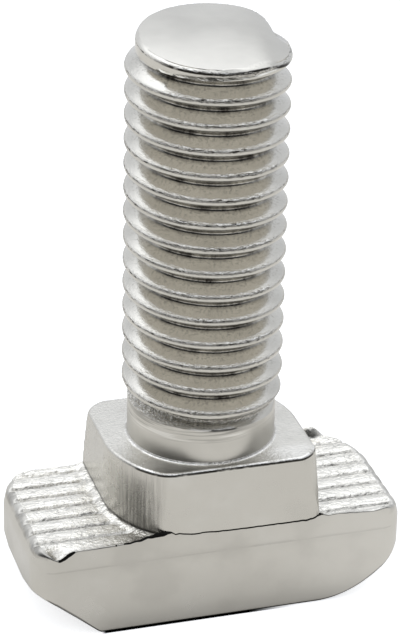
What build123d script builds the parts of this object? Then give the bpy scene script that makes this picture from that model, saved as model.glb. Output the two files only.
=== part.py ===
from build123d import *
import math
import os

# Hammer-head bolt for a 10 mm slot, M8 thread, forged and rolled in one piece.
# Frame: +Z up along the bolt's axis, origin under the axis at the head's underside,
# +X along the head's long side, -Y the front. Millimetres and degrees throughout.
# It has a left-hand thread, and locks with an anticlockwise quarter turn seen from above.

right_handed = False  # True mirrors it into the bolt that locks with a clockwise turn
cut_clearance = 0.4  # how far each cutter reaches past the surface that it cuts

# Head: the bar that grips behind the slot's lips
head_length = 19.0
head_width = 8.24
head_height = 4.9
front_left_radius = 1.2  # vertical corners in plan
front_right_radius = 1.2
back_left_radius = 1.9
back_right_radius = 3.0
end_bevel_length = 0.22  # the ends lean in towards the shoulders' teeth
end_bevel_height = 0.8

# Relief under each end: a straight ramp on one long side, an elliptical curve on the other
ramp_length = 3.4
ramp_height = 2.95
middle_ramp_height = 2.25  # lower along the middle of the end
middle_ramp_width = 3.0
round_relief_length = 4.9
round_relief_height = 3.9

# Serrations on both shoulders, along the head's long side
serration_count = 7
serration_pitch = 1.08
serration_width = 0.46
serration_depth = 0.18
serration_offset = 0.28  # of the middle groove from the bolt's axis, opposite on the shoulders

# Collar: the block that fills the slot and stops the bolt after a quarter turn
collar_length = 10.0
collar_height = 3.54
collar_step = 0.03  # how far the collar's long faces stand back from the head's
turn_corner_blend = 1.6  # rounding where a turning corner runs out on the long face
stop_corner_radius = 1.5  # rounding at the top of the two corners that stop the turn
stop_corner_slack = 0.05  # the rounding meets the flat sides at a slight angle
stop_corner_spread = 0.62  # how much sharper those corners are at the shoulder
collar_flare = 0.25  # spread of the collar's ends where they meet the shoulders
collar_edge_break = 0.1

# Neck: the plain, unthreaded shank above the collar
neck_radius = 3.66
neck_length = 2.35
neck_cone_length = 0.35

# Thread: metric, 60 degrees, rolled, so its crest is blunt
thread_radius = 3.94
thread_pitch = 1.25
thread_depth = 0.76
thread_angle = 60.0
first_groove_height = 10.73  # root of the lowest whole groove, at its angle below
first_groove_angle = -107.0
edge_turns = 1.5  # turns of the helix on one edge at most
run_out_turns = 0.55  # the turn over which the lowest groove fades into the neck
run_out_lift = 0.5  # how far the fading groove's root climbs outwards

# Sheared end of the thread
shank_end_height = 29.3  # on the axis
shear_tilt = 4.3  # the end leans, high at the back
rolled_edge_tilt = 24.0  # the side of the end that the shear rolled over
rolled_edge_start = 2.6  # distance of that side from the axis
rolled_edge_angle = -12.0
end_rim_radius = 3.73  # the last part-turn isn't full, and lies off the axis
end_rim_offset = (0.2, -0.08)
end_rim_length = 0.7

# Worked out from the sizes above
half_length = head_length / 2
half_width = head_width / 2
collar_width = head_width - 2 * collar_step
collar_top = head_height + collar_height
neck_top = collar_top + neck_length
half_flank = math.tan(math.radians(thread_angle / 2))
root_radius = thread_radius - thread_depth
groove_top = shank_end_height + thread_pitch
blank_top = groove_top + 2 * thread_pitch


def make_head():
    """The bar, relieved under both ends and toothed on both shoulders."""
    plan = Rectangle(head_length, head_width)
    corners = plan.vertices().sort_by(Axis.Y)
    front_left, front_right = corners[:2].sort_by(Axis.X)
    back_left, back_right = corners[2:].sort_by(Axis.X)
    plan = fillet(front_left, front_left_radius)
    plan = fillet(nearest_vertex(plan, front_right), front_right_radius)
    plan = fillet(nearest_vertex(plan, back_left), back_left_radius)
    plan = fillet(nearest_vertex(plan, back_right), back_right_radius)
    head = extrude(plan, head_height)
    for turn in (0, 180):
        head -= Rot(0, 0, turn) * end_relief()
        head -= Rot(0, 0, turn) * end_bevel()
        for groove in serrations():
            head -= Rot(0, 0, turn) * groove
    return head


def nearest_vertex(plan, place):
    """The vertex of a plan that is still at a corner's first place."""
    return plan.vertices().sort_by_distance(place.center())[0]


def end_relief():
    """What is taken from under the left end: a ramp in front, an elliptical curve at the back."""
    outside = half_length + 2 * cut_clearance
    spread = half_width + cut_clearance
    ramp_start = half_length - ramp_length
    sections = []
    middle = middle_ramp_width / 2
    for y, height in ((-spread, ramp_height), (-middle, middle_ramp_height), (middle, middle_ramp_height)):
        slope = height / ramp_length
        ramp = Polyline((ramp_start, 0), (half_length, height))
        rest = Polyline(ramp @ 1, (outside, height + slope * 2 * cut_clearance), (outside, 0), ramp @ 0)
        sections.append(facing_left(y) * make_face([ramp, rest]))
    curve_start = (half_length - round_relief_length, round_relief_height)
    curve = EllipticalCenterArc(curve_start, round_relief_length, round_relief_height, 270, arc_size=90)
    top = round_relief_height + cut_clearance
    rest = Polyline(curve @ 1, (outside, top), (outside, 0), curve @ 0)
    sections.append(facing_left(spread) * make_face([curve, rest]))
    return loft(sections, ruled=True)


def facing_left(y):
    """A plane across the bolt at y whose x runs out along the left end."""
    return Plane(origin=(0, y, 0), x_dir=(-1, 0, 0), z_dir=(0, 1, 0))


def end_bevel():
    """What is taken from the left end so that it leans in towards the teeth."""
    slope = end_bevel_length / end_bevel_height
    outside = half_length + cut_clearance
    foot = (half_length, head_height - end_bevel_height)
    top = (half_length - end_bevel_length - slope * cut_clearance, head_height + cut_clearance)
    wedge = Polyline(foot, top, (outside, top[1]), (outside, foot[1]), close=True)
    return extrude(facing_left(0) * make_face(wedge), head_width, both=True)


def serrations():
    """The V grooves along the left shoulder."""
    top = head_height + cut_clearance
    spread = serration_width / 2 * (1 + cut_clearance / serration_depth)
    root = (0, head_height - serration_depth)
    notch = make_face(Polyline(root, (spread, top), (-spread, top), close=True))
    first = serration_offset - (serration_count - 1) / 2 * serration_pitch
    cuts = []
    for index in range(serration_count):
        start = (-half_length - cut_clearance, first + index * serration_pitch, 0)
        across = Plane(origin=start, x_dir=(0, 1, 0), z_dir=(1, 0, 0))
        cuts.append(extrude(across * notch, half_length + cut_clearance))
    return cuts


def make_collar():
    """A block with two corners round about the axis, and two corners that stop the turn."""
    block = Rectangle(collar_length, collar_width)
    quarter = Rectangle(collar_length / 2, collar_width / 2, align=(Align.MIN, Align.MAX))
    plan = block & (Circle(collar_length / 2) + quarter + Rot(0, 0, 180) * quarter)
    for side in (-1, 1):
        run_out_x = math.sqrt(collar_length**2 - collar_width**2) / 2
        run_out = Vector(side * run_out_x, side * collar_width / 2)
        plan = fillet(plan.vertices().sort_by_distance(run_out)[0], turn_corner_blend)
    foot = head_height - serration_depth
    collar = Pos(0, 0, foot) * extrude(plan, collar_height + serration_depth)
    for turn in (0, 180):
        collar -= Rot(0, 0, turn) * stop_corner_cut()
    collar = chamfer(collar.edges().group_by(Axis.Z)[-1], collar_edge_break)
    flare = extrude(offset(plan, collar_flare), collar_flare, taper=45)
    flare &= Box(head_length, collar_width, head_height)
    return collar + Pos(0, 0, head_height) * flare


def stop_corner_cut():
    """Rounds the front right corner at the top, and lets it sharpen towards the shoulder."""
    x = collar_length / 2 - stop_corner_radius
    y = stop_corner_radius - collar_width / 2
    size = stop_corner_radius + cut_clearance
    around = Box(size, size, collar_height, align=(Align.MIN, Align.MAX, Align.MIN))
    kept = Cone(
        stop_corner_radius + stop_corner_spread,
        stop_corner_radius + stop_corner_slack,
        collar_height,
        align=(Align.CENTER, Align.CENTER, Align.MIN),
    )
    return Pos(x, y, head_height) * (around - kept)


def coil(height, radius, cone_angle=0.0):
    """A left-hand helix, as a chain of short edges."""
    count = math.ceil(height / (edge_turns * thread_pitch))
    rise = height / count
    narrowing = rise * math.tan(math.radians(cone_angle))
    turns = []
    for index in range(count):
        start = Pos(0, 0, index * rise) * Rot(0, 0, -360 * index * rise / thread_pitch)
        turn = Helix(thread_pitch, rise, radius + index * narrowing, cone_angle=cone_angle, lefthand=True)
        turns.append((start * turn).edge())
    return Wire(turns)


def groove_cutter(path):
    """The thread's V groove, swept along a helix at its root."""
    depth = thread_depth + cut_clearance
    spread = depth * half_flank
    notch = make_face(Polyline((0, 0), (depth, spread), (depth, -spread), close=True))
    start = Plane(origin=path @ 0, x_dir=(1, 0, 0), z_dir=path % 0)
    return sweep(start * notch, path=path, is_frenet=True)


def make_blank():
    """Neck and thread before rolling, turned in one piece."""
    profile = Polyline(
        (0, collar_top - cut_clearance),
        (neck_radius, collar_top - cut_clearance),
        (neck_radius, neck_top),
        (thread_radius, neck_top + neck_cone_length),
        (thread_radius, blank_top),
        (0, blank_top),
        close=True,
    )
    return revolve(Plane.XZ * make_face(profile), Axis.Z)


def make_shank():
    """The blank with the helical groove cut from it, and the groove's fade into the neck."""
    groove_path = coil(groove_top - first_groove_height, root_radius)
    groove = Rot(0, 0, first_groove_angle) * groove_cutter(groove_path)
    fade_height = run_out_turns * thread_pitch
    fade_cone = -math.degrees(math.atan(run_out_lift / fade_height))
    fade_path = coil(fade_height, root_radius + run_out_lift, fade_cone)
    fade = Rot(0, 0, first_groove_angle + 360 * run_out_turns) * groove_cutter(fade_path)
    shank = make_blank()
    shank -= Pos(0, 0, first_groove_height) * groove
    shank -= Pos(0, 0, first_groove_height - fade_height) * fade
    return shank


def shear_end(shank):
    """Crops the thread: a leaning cut, a rolled-over side and a last part-turn that isn't full."""
    size = 4 * thread_radius
    slab = Box(size, size, size, align=(Align.CENTER, Align.CENTER, Align.MIN))
    shank -= Pos(0, 0, shank_end_height) * Rot(shear_tilt, 0, 0) * slab
    rolled = Pos(rolled_edge_start, 0, shank_end_height) * Rot(0, rolled_edge_tilt, 0) * slab
    shank -= Rot(0, 0, rolled_edge_angle) * rolled
    rim = Pos(*end_rim_offset, 0) * Cylinder(end_rim_radius, 2 * size)
    shank -= Pos(0, 0, shank_end_height - end_rim_length) * (slab - rim)
    return shank


def make_bolt():
    bolt = make_head() + make_collar() + shear_end(make_shank())
    if right_handed:
        bolt = mirror(bolt, Plane.YZ)
    return bolt


os.makedirs("parts", exist_ok=True)
export_step(make_bolt(), "parts/t_slot_bolt.step")
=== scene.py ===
import math
from types import SimpleNamespace

import bmesh
import bpy
from mathutils import Matrix, Vector, noise


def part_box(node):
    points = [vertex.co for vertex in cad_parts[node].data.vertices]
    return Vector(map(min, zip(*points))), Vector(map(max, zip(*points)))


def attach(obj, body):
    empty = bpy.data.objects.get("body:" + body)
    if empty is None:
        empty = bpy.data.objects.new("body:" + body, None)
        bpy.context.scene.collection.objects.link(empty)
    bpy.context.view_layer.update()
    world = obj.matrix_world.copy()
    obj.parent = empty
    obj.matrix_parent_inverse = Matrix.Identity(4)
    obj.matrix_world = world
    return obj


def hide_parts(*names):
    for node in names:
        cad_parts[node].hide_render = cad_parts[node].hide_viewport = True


# Looks of a hammer-head bolt with an M8 left-hand thread, nickel plated.
# Meshes are built in millimetres and brought to metres at the end.

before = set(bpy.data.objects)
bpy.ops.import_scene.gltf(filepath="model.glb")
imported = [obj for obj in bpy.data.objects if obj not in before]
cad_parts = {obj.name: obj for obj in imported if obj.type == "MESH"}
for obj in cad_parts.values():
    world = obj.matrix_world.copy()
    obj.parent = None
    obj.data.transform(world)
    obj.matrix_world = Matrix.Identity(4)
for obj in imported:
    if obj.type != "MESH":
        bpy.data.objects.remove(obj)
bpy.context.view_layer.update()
mm = 0.001
wholeShare = 0.4  # of a band's reach, within which it has its whole value
boltLow, boltHigh = (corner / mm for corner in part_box("t_slot_bolt"))
print("frame loaded, bolt from", tuple(boltLow), "to", tuple(boltHigh))


class Field:
    # a node socket that can be used in sums, for geometry and shader trees alike
    def __init__(self, tree, socket):
        self.tree = tree
        self.socket = socket

    def calc(self, operation, *others):
        node = self.tree.nodes.new("ShaderNodeMath")
        node.operation = operation
        for slot, value in zip(node.inputs, (self, *others)):
            plug(self.tree, value, slot)
        return Field(self.tree, node.outputs[0])

    def __add__(self, other):
        return self.calc("ADD", other)

    def __radd__(self, other):
        return self.calc("ADD", other)

    def __sub__(self, other):
        return self.calc("SUBTRACT", other)

    def __rsub__(self, other):
        return self * -1 + other

    def __mul__(self, other):
        return self.calc("MULTIPLY", other)

    def __truediv__(self, other):
        return self.calc("DIVIDE", other)

    def __neg__(self):
        return self * -1

    def __abs__(self):
        return self.calc("ABSOLUTE")

    def atLeast(self, other):
        return self.calc("MAXIMUM", other)

    def atMost(self, other):
        return self.calc("MINIMUM", other)

    def ramp(self, low, high, fromValue=0.0, toValue=1.0, smooth=True):
        # goes from one value to the other while the field goes from low to high
        node = self.tree.nodes.new("ShaderNodeMapRange")
        node.interpolation_type = "SMOOTHSTEP" if smooth else "LINEAR"
        for slot, value in zip(node.inputs, (self, low, high, fromValue, toValue)):
            plug(self.tree, value, slot)
        return Field(self.tree, node.outputs[0])

    def near(self, centre, reach, value=1.0):
        # the value where the field is near the centre, and nothing past the reach
        return abs(self - centre).ramp(reach * wholeShare, reach, value, 0.0)


def plug(tree, value, slot):
    if isinstance(value, Field):
        tree.links.new(value.socket, slot)
    elif isinstance(value, bpy.types.NodeSocket):
        tree.links.new(value, slot)
    else:
        slot.default_value = value


def addNode(tree, kind, plugs=None, **settings):
    node = tree.nodes.new(kind)
    for name, value in settings.items():
        setattr(node, name, value)
    for name, value in (plugs or {}).items():
        plug(tree, value, node.inputs[name])
    return node


def splitVector(tree, socket):
    node = addNode(tree, "ShaderNodeSeparateXYZ", {0: socket})
    return [Field(tree, output) for output in node.outputs]


def joinVector(tree, x, y, z):
    return addNode(tree, "ShaderNodeCombineXYZ", {0: x, 1: y, 2: z}).outputs[0]


def noiseField(tree, vector, scale, detail=2.0, roughness=0.5):
    # noise between about -0.5 and 0.5
    plugs = {"Vector": vector, "Scale": scale, "Detail": detail, "Roughness": roughness}
    return Field(tree, addNode(tree, "ShaderNodeTexNoise", plugs).outputs[0]) - 0.5


def patches(tree, vector, size, detail, roughness):
    # noise whose patches are this many millimetres wide
    return noiseField(tree, vector, 1 / (size * mm), detail, roughness)


def mixColour(tree, share, first, second):
    plugs = {"Factor": share, "A": first, "B": second}
    return addNode(tree, "ShaderNodeMix", plugs, data_type="RGBA").outputs["Result"]


def newTree(name, sizes):
    # a geometry tree with one named input for each size
    tree = bpy.data.node_groups.new(name, "GeometryNodeTree")
    tree.interface.new_socket("Geometry", in_out="INPUT", socket_type="NodeSocketGeometry")
    tree.interface.new_socket("Geometry", in_out="OUTPUT", socket_type="NodeSocketGeometry")
    for size, value in sizes.items():
        kind = "NodeSocketInt" if isinstance(value, int) else "NodeSocketFloat"
        tree.interface.new_socket(size, in_out="INPUT", socket_type=kind)
    inputs = tree.nodes.new("NodeGroupInput")
    outputs = tree.nodes.new("NodeGroupOutput")
    fields = {size: Field(tree, inputs.outputs[size]) for size in sizes}
    return tree, inputs.outputs["Geometry"], outputs.inputs["Geometry"], fields


def endTree(tree, geometry, target):
    real = addNode(tree, "GeometryNodeRealizeInstances", {"Geometry": geometry})
    tree.links.new(real.outputs[0], target)


def growMesh(piece, tree, sizes):
    # runs the tree on the piece and keeps the result as a plain mesh
    grow = piece.modifiers.new(tree.name, "NODES")
    grow.node_group = tree
    for item in tree.interface.items_tree:
        if item.name in sizes:
            grow[item.identifier] = sizes[item.name]
    bakeModifiers(piece)


def bakeModifiers(piece):
    ready = piece.evaluated_get(bpy.context.evaluated_depsgraph_get())
    mesh = bpy.data.meshes.new_from_object(ready)
    piece.modifiers.clear()
    old = piece.data
    piece.data = mesh
    bpy.data.meshes.remove(old)


def newPiece(name, mesh):
    piece = bpy.data.objects.new(name, mesh)
    bpy.context.scene.collection.objects.link(piece)
    return piece


def checkClosed(piece):
    shape = bmesh.new()
    shape.from_mesh(piece.data)
    openEdges = sum(1 for edge in shape.edges if not edge.is_manifold)
    volume = round(shape.calc_volume(), 2)
    print(piece.name, len(shape.faces), "faces,", openEdges, "open edges, volume", volume)
    shape.free()


# one finish for each kind of face, painted further down where the pieces' sizes are known
finishNames = ("satinFace", "toothedFace", "collarFace", "threadFace", "lapShadeFace", "shearedFace")
finishes = {name: bpy.data.materials.new(name) for name in finishNames}


def meshFrom(name, points, faces, finishOfFace):
    mesh = bpy.data.meshes.new(name)
    mesh.from_pydata(points, [], faces)
    for finish in finishes.values():
        mesh.materials.append(finish)
    mesh.polygons.foreach_set("material_index", [finishNames.index(finish) for finish in finishOfFace])
    mesh.polygons.foreach_set("use_smooth", [True] * len(faces))
    mesh.update()
    return mesh


def gridOutline(lastRow, lastColumn):
    # rows and columns round a grid's edge, anticlockwise from its first corner
    outline = [(0, column) for column in range(lastColumn + 1)]
    outline += [(row, lastColumn) for row in range(1, lastRow)]
    outline += [(lastRow, column) for column in range(lastColumn, -1, -1)]
    outline += [(row, 0) for row in range(lastRow - 1, 0, -1)]
    return outline


def wallFaces(upper, lower):
    # a ring of faces between two closed loops of points, which run anticlockwise
    loop = list(zip(upper, lower))
    return [(here[0], here[1], after[1], after[0]) for here, after in zip(loop, loop[1:] + loop[:1])]


head = {
    "length": boltHigh.x - boltLow.x,
    "width": boltHigh.y - boltLow.y,
    "height": 4.9,
    # corners in plan
    "frontLeftRadius": 1.2,
    "frontRightRadius": 1.2,
    "backLeftRadius": 1.9,
    "backRightRadius": 3.0,
    # the ends lean in towards the teeth
    "bevelLength": 0.22,
    "bevelHeight": 0.8,
    "bevelPower": 4,
    # edges: wider at the top over the teeth's ends, and at the foot under the reliefs
    "topRounding": 0.06,
    "endRounding": 0.25,
    "endRoundingStart": 8.5,
    "endRoundingFull": 9.1,
    "topTurns": (20, 45, 70, 90),
    "footRounding": 0.14,
    "reliefRounding": 0.26,
    "reliefRoundingHeight": 0.9,
    "footTurns": (70, 45, 20),
    # the forging's parting line
    "creaseHeight": 3.78,
    "creaseDepth": 0.009,
    "creaseHalf": 0.03,
    "creasePower": 8,
    # reliefs under the ends
    "rampLength": 3.4,
    "rampHeight": 2.95,
    "middleRampHeight": 2.25,
    "middleRampWidth": 3.0,
    "reliefLength": 4.9,
    "reliefHeight": 3.9,
    "sectionReach": 0.4,
    "reliefSoftness": 0.08,
    "halvings": 24,
    # the raised front edge and the lap under it
    "edgeReach": 0.14,
    "edgeWaves": 3.1,
    "edgeUnevenness": 0.5,
    "edgeSeed": (0.3, 0.9),
    "lapWaves": 4.3,
    "lapUnevenness": 0.7,
    "lapSeed": (0.7, 0.2),
    "leastLap": 0.01,
    "edgeTolerance": 0.001,
    # the mesh's rows and columns, and the wall's rings
    "rowStep": 0.063,
    "closestRows": 0.035,
    "closestOuterRows": 0.004,
    "outerZone": 0.3,
    "cornerTurns": 16,
    "cornerSweep": 60,
    "shoulderColumns": 51,
    "hiddenColumns": 40,
    "hiddenHalf": 4.6,
    "upperRings": (0.3, 0.55, 0.78),
    "ringGap": 0.02,
    "lowerRings": (0.75, 0.5, 0.25, 0.0),
}
# along the head's front edge: x, how far forging raised the edge, and the width of the lap under it, which
# is painted near black as shade
frontEdge = [
    (-8.4, 0.0, 0.0), (-8.15, 0.0, 0.09), (-7.7, 0.0, 0.1), (-7.4, 0.0, 0.0), (-6.6, 0.0, 0.009),
    (-5.5, 0.02, 0.0105), (-4.3, 0.1, 0.013), (-3.8, 0.28, 0.07), (-3.2, 0.24, 0.1), (-2.6, 0.24, 0.06),
    (-2.3, 0.2, 0.02), (-1.2, 0.1, 0.02), (0.9, 0.04, 0.03), (3.4, 0.03, 0.03), (4.0, 0.04, 0.07),
    (4.9, 0.11, 0.09), (5.1, 0.12, 0.02), (5.4, 0.13, 0.0), (6.7, 0.07, 0.0), (7.85, -0.02, 0.0),
    (8.8, 0.12, 0.0), (9.3, 0.0, 0.0),
]
# the front left corner droops
droop = {
    "x": -8.3,
    "depth": 0.42,
    "reach": 0.42,
    "fall": 0.8,
}
# a burr that stands up at the back of the right shoulder
burr = {
    "x": 7.05,
    "y": 3.85,
    "height": 0.55,
    "halfLength": 0.6,
    "halfWidth": 0.24,
    "power": 1.5,
}
halfLength = head["length"] / 2
halfWidth = head["width"] / 2


def alongFront(x, column):
    # a value of the front edge's table at x
    if x <= frontEdge[0][0] or x >= frontEdge[-1][0]:
        return 0.0
    for start, end in zip(frontEdge, frontEdge[1:]):
        if x <= end[0]:
            share = (x - start[0]) / (end[0] - start[0])
            return start[column] + share * (end[column] - start[column])


def uneven(x, waves, share, seed):
    # a factor about 1 that wanders along the front edge
    return 1 + share * noise.noise(Vector((x * waves, *seed)))


def lapWidth(place):
    # width of the lap under the front edge, which is painted near black as shade
    if place.y + halfWidth > head["edgeTolerance"]:
        return 0.0
    factor = uneven(place.x, head["lapWaves"], head["lapUnevenness"], head["lapSeed"])
    return alongFront(place.x, 2) * factor


def topHeight(x, y):
    # the head's top: flat but for the raised front edge, the corner that droops and the burr
    edge = alongFront(x, 1) * math.exp(-(y + halfWidth) / head["edgeReach"])
    edge *= uneven(x, head["edgeWaves"], head["edgeUnevenness"], head["edgeSeed"])
    away = math.hypot(x - droop["x"], y + halfWidth) / droop["reach"]
    fall = droop["depth"] * math.exp(-away * away * droop["fall"])
    across = ((x - burr["x"]) / burr["halfLength"]) ** 2 + ((y - burr["y"]) / burr["halfWidth"]) ** 2
    rise = burr["height"] * math.exp(-across ** burr["power"])
    return head["height"] + edge - fall + rise


def rowEnd(side, y):
    # x and the outward direction where a row of the head's plan ends
    front = head["frontRightRadius"] if side > 0 else head["frontLeftRadius"]
    back = head["backRightRadius"] if side > 0 else head["backLeftRadius"]
    radius, depth, way = (front, halfWidth + y, -1) if y < 0 else (back, halfWidth - y, 1)
    if depth >= radius:
        return side * halfLength, Vector((side, 0, 0))
    across = (radius - depth) / radius
    along = math.sqrt(max(0.0, 1 - across * across))
    return side * (halfLength - radius + radius * along), Vector((side * along, way * across, 0))


def reliefSection(x, y):
    # height of the head's underside: a ramp on one side of an end, an elliptical curve on the other
    reach, across = abs(x), (y if x < 0 else -y)
    middle = head["middleRampWidth"] / 2
    outer = halfWidth + head["sectionReach"]
    rampStart = halfLength - head["rampLength"]
    if across <= middle:
        share = min(1.0, max(0.0, (-middle - across) / (outer - middle)))
        rise = head["middleRampHeight"] + share * (head["rampHeight"] - head["middleRampHeight"])
        return max(0.0, reach - rampStart) / head["rampLength"] * rise
    share = (across - middle) / (outer - middle)
    curveStart = halfLength - head["reliefLength"]

    def onSection(turn):
        angle = turn * math.pi / 2
        rampX = rampStart + head["rampLength"] * turn
        curveX = curveStart + head["reliefLength"] * math.sin(angle)
        rampZ = head["middleRampHeight"] * turn
        curveZ = head["reliefHeight"] * (1 - math.cos(angle))
        return rampX + share * (curveX - rampX), rampZ + share * (curveZ - rampZ)

    if reach <= onSection(0.0)[0]:
        return 0.0
    low, high = 0.0, 1.0
    for _ in range(head["halvings"]):
        turn = (low + high) / 2
        if onSection(turn)[0] < reach:
            low = turn
        else:
            high = turn
    return onSection(high)[1]


def reliefHeight(x, y):
    # the reliefs start softly from the flat underside
    height = reliefSection(x, y)
    return height * height / (height + head["reliefSoftness"])


def headRows():
    # rows across the head, closer together where the corners start
    rows = {-halfWidth, halfWidth}
    for index in range(1, head["cornerTurns"] + 1):
        depth = 1 - math.cos(index / head["cornerTurns"] * math.radians(head["cornerSweep"]))
        rows.add(-halfWidth + head["frontLeftRadius"] * depth)
        rows.add(halfWidth - head["backRightRadius"] * depth)
    count = round(head["width"] / head["rowStep"])
    rows.update(-halfWidth + index * head["width"] / count for index in range(1, count))
    kept = []
    for y in sorted(rows):
        outside = min(y + halfWidth, halfWidth - y) < head["outerZone"]
        closest = head["closestOuterRows"] if outside else head["closestRows"]
        if not kept or y - kept[-1] > closest:
            kept.append(y)
    kept[-1] = halfWidth
    return kept


def headShares():
    # places along a row, from -1 to 1: close together on the shoulders, wide apart under the collar
    def spaced(start, end, count):
        return [start + (end - start) * index / count for index in range(count)]

    hidden = head["hiddenHalf"] / halfLength
    shares = spaced(-1, -hidden, head["shoulderColumns"])
    shares += spaced(-hidden, hidden, head["hiddenColumns"])
    shares += spaced(hidden, 1, head["shoulderColumns"]) + [1.0]
    return shares


def footRounding(place):
    share = min(1.0, reliefHeight(place.x, place.y) / head["reliefRoundingHeight"])
    return head["footRounding"] + share * (head["reliefRounding"] - head["footRounding"])


def topRounding(place):
    start, full = head["endRoundingStart"], head["endRoundingFull"]
    share = min(1.0, max(0.0, (abs(place.x) - start) / (full - start)))
    return head["topRounding"] + lapWidth(place) + share * head["endRounding"]


def wallInset(height, out):
    # the ends lean in towards the teeth, the long sides stay upright
    lean = max(0.0, (height - (head["height"] - head["bevelHeight"])) / head["bevelHeight"])
    return lean * head["bevelLength"] * out.x ** head["bevelPower"]


def topInset(place, out):
    return topRounding(place) + wallInset(head["height"], out)


def footInset(place, out):
    return footRounding(place)


def wallPoint(kind, value, place, out):
    # a point of the head's wall: on the top edge's rounding, on the wall or on the foot's rounding
    foot, rounding = footRounding(place), topRounding(place)
    edge = place - out * foot
    low = reliefHeight(edge.x, edge.y) + foot
    top = topHeight(place.x, place.y)
    angle = math.radians(value)
    if kind == "top":
        height = top - rounding * (1 - math.cos(angle))
        inset = rounding * (1 - math.sin(angle)) + wallInset(height, out)
    elif kind == "foot":
        height = low - foot * math.cos(angle)
        inset = foot * (1 - math.sin(angle)) + wallInset(height, out)
    else:
        height = min(value, top - rounding - head["ringGap"])
        if kind == "share":
            height = low + (head["creaseHeight"] - 2 * head["creaseHalf"] - low) * value
        height = max(height, low)
        inset = wallInset(height, out)
        if kind == "crease" and height == value:
            inset += head["creaseDepth"] * abs(out.y) ** head["creasePower"]
    place = place - out * inset
    return place.x, place.y, height


def makeHead():
    # a grid for the top and one for the underside, joined by rings of wall
    rows, shares = headRows(), headShares()
    lastRow, lastShare = len(rows) - 1, len(shares) - 1
    outline = gridOutline(lastRow, lastShare)
    points, faces, finishOfFace = [], [], []

    def planPlace(row, share):
        # place in plan, and the outward direction for places on the outline
        y = rows[row]
        left, leftOut = rowEnd(-1, y)
        right, rightOut = rowEnd(1, y)
        along = (shares[share] + 1) / 2
        out = None
        if row in (0, lastRow):
            out = Vector((0, -1 if row == 0 else 1, 0))
        elif share == 0:
            out = leftOut
        elif share == lastShare:
            out = rightOut
        return Vector((left + (right - left) * along, y, 0)), out

    def layGrid(insetAt, heightAt, finish, upwards):
        # one skin of the head, its outline drawn in by the inset
        start = len(points)
        for row in range(lastRow + 1):
            ends = []
            for share in (0, lastShare):
                place, out = planPlace(row, share)
                ends.append(place - out * insetAt(place, out))
            for share in range(lastShare + 1):
                place, out = planPlace(row, share)
                if out is not None:
                    place = place - out * insetAt(place, out)
                else:
                    place = ends[0].lerp(ends[1], (shares[share] + 1) / 2)
                points.append((place.x, place.y, heightAt(place.x, place.y)))
        wide = lastShare + 1
        for row in range(lastRow):
            for share in range(lastShare):
                a = start + row * wide + share
                corners = (a, a + 1, a + wide + 1, a + wide)
                faces.append(corners if upwards else corners[::-1])
                finishOfFace.append(finish)
        return [start + row * wide + share for row, share in outline]

    topRing = layGrid(topInset, topHeight, "toothedFace", True)
    footRing = layGrid(footInset, reliefHeight, "satinFace", False)

    crease, half = head["creaseHeight"], head["creaseHalf"]
    levels = [("top", turn) for turn in head["topTurns"]]
    levels += [("wall", head["height"] - depth) for depth in head["upperRings"]]
    levels += [("wall", crease + half), ("crease", crease), ("wall", crease - half)]
    levels += [("share", share) for share in head["lowerRings"]]
    levels += [("foot", turn) for turn in head["footTurns"]]
    onOutline = [planPlace(row, share) for row, share in outline]
    rings = [topRing]
    for kind, value in levels:
        rings.append([len(points) + index for index in range(len(outline))])
        points.extend(wallPoint(kind, value, place, out) for place, out in onOutline)
    rings.append(footRing)

    # the faces of the lap are painted near black as shade in the crevice, from the top down to the end of
    # the edge's rounding
    lapped = [lapWidth(place) > head["leastLap"] for place, _ in onOutline]
    dark = [here and after for here, after in zip(lapped, lapped[1:] + lapped[:1])]
    for level, (upper, lower) in enumerate(zip(rings, rings[1:])):
        faces.extend(wallFaces(upper, lower))
        onLap = level < len(head["topTurns"])
        finishOfFace.extend("lapShadeFace" if onLap and inLapShade else "satinFace" for inLapShade in dark)
    return newPiece("head", meshFrom("head", points, faces, finishOfFace))


headPiece = makeHead()
checkClosed(headPiece)


collar = {
    "length": 10.0,
    "height": 3.54,
    "step": 0.03,
    "turnBlend": 1.6,
    # the corners that stop the turn are sharper at the foot
    "stopCentre": 1.5,
    "stopRadius": 1.55,
    "stopRadiusFoot": 2.12,
    "flare": 0.07,
    "flareTurns": (0, 30, 60, 90),
    "edgeRounding": 0.16,
    "edgeTurns": (0, 20, 40, 60, 80, 90),
    "topInset": 1.2,
    "footDepth": 0.4,
    "wallShares": (0.2, 0.4, 0.6, 0.8),
    # the round fillet up into the neck
    "neckRadius": 3.66,
    "neckFillet": 0.16,
    "filletTurns": (0, 25, 50, 75),
    "neckOverlap": 0.06,
    # steps of the outline
    "endSteps": 8,
    "stopSteps": 24,
    "frontSteps": 16,
    "blendSteps": 8,
    "turnSteps": 40,
}
collarHalfLength = collar["length"] / 2
collarHalfWidth = halfWidth - collar["step"]
collarTop = head["height"] + collar["height"]


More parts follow.
